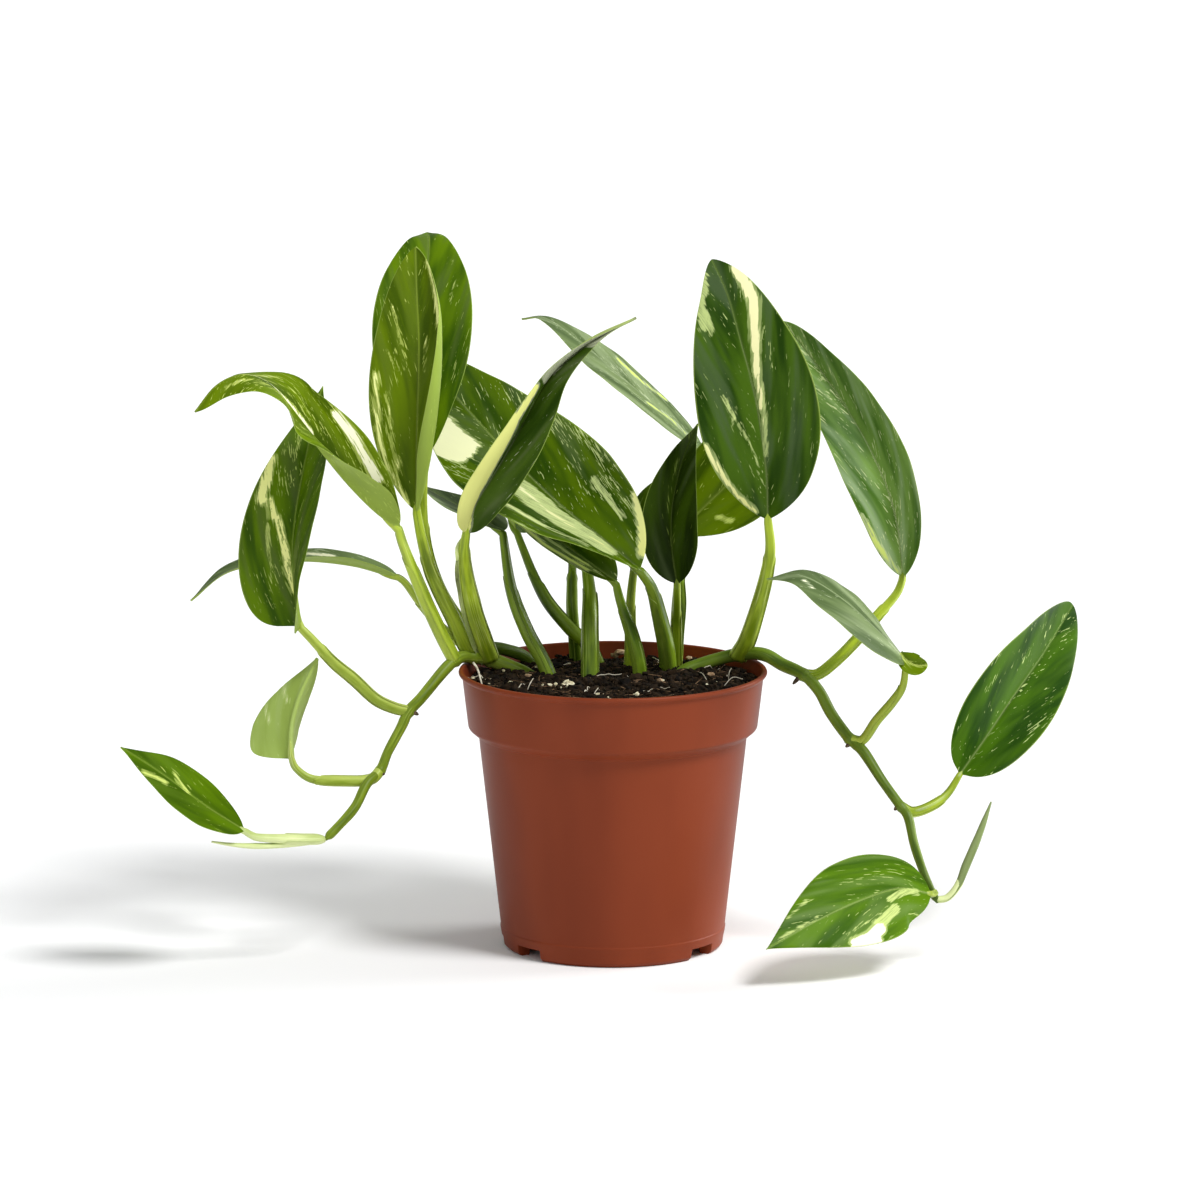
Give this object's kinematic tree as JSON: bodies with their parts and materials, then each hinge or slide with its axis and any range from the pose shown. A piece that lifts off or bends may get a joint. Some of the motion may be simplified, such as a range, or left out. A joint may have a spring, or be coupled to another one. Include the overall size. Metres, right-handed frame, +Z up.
{
  "type": "potted monstera",
  "caption": "Variegated trailing monstera with lance-shaped leaves on long stalks and two trailing stems, planted in soil in a round nursery pot.",
  "frame": {"origin": "on the pot's axis at floor level", "axes": "+Z up, -Y the side that the leaves face, +X to the right when the plant is seen from that side"},
  "size_m": [0.3721, 0.1587, 0.2731],
  "materials": {
    "pot": "satin moulded plastic, terracotta colour",
    "soil": "loose moist peat with perlite grains",
    "stem": "smooth dark green stem",
    "stalk": "smooth light green leaf stalk",
    "blade": "glossy green leaf with cream variegation"
  },
  "bodies": {
    "root": {"leaf_back_left": "blade", "leaf_back_middle": "blade", "leaf_back_right": "blade", "leaf_back_small": "blade", "leaf_back_thin": "blade", "leaf_left_arching": "blade", "leaf_left_back_tall": "blade", "leaf_left_back_thin": "blade", "leaf_left_end": "blade", "leaf_left_front_tall": "blade", "leaf_left_pale": "blade", "leaf_left_upright": "blade", "leaf_middle_behind": "blade", "leaf_middle_dark": "blade", "leaf_middle_folded": "blade", "leaf_middle_grey": "blade", "leaf_middle_large": "blade", "leaf_middle_low": "blade", "leaf_right_arching": "blade", "leaf_right_drooping": "blade", "leaf_right_end": "blade", "leaf_right_rolled": "blade", "leaf_right_tall": "blade", "leaf_right_upright": "blade", "pot": "pot", "sheath_left_end": "stalk", "soil": "soil", "stalk_back_left": "stalk", "stalk_back_middle": "stalk", "stalk_back_right": "stalk", "stalk_back_small": "stalk", "stalk_back_thin": "stalk", "stalk_left_arching": "stalk", "stalk_left_back_tall": "stalk", "stalk_left_back_thin": "stalk", "stalk_left_end": "stalk", "stalk_left_front_tall": "stalk", "stalk_left_pale": "stalk", "stalk_left_upright": "stalk", "stalk_middle_behind": "stalk", "stalk_middle_dark": "stalk", "stalk_middle_folded": "stalk", "stalk_middle_grey": "stalk", "stalk_middle_large": "stalk", "stalk_middle_low": "stalk", "stalk_right_arching": "stalk", "stalk_right_drooping": "stalk", "stalk_right_end": "stalk", "stalk_right_tall": "stalk", "stalk_right_upright": "stalk", "stem_back_left": "stem", "stem_left": "stem", "stem_right": "stem"}
  },
  "joints": []
}
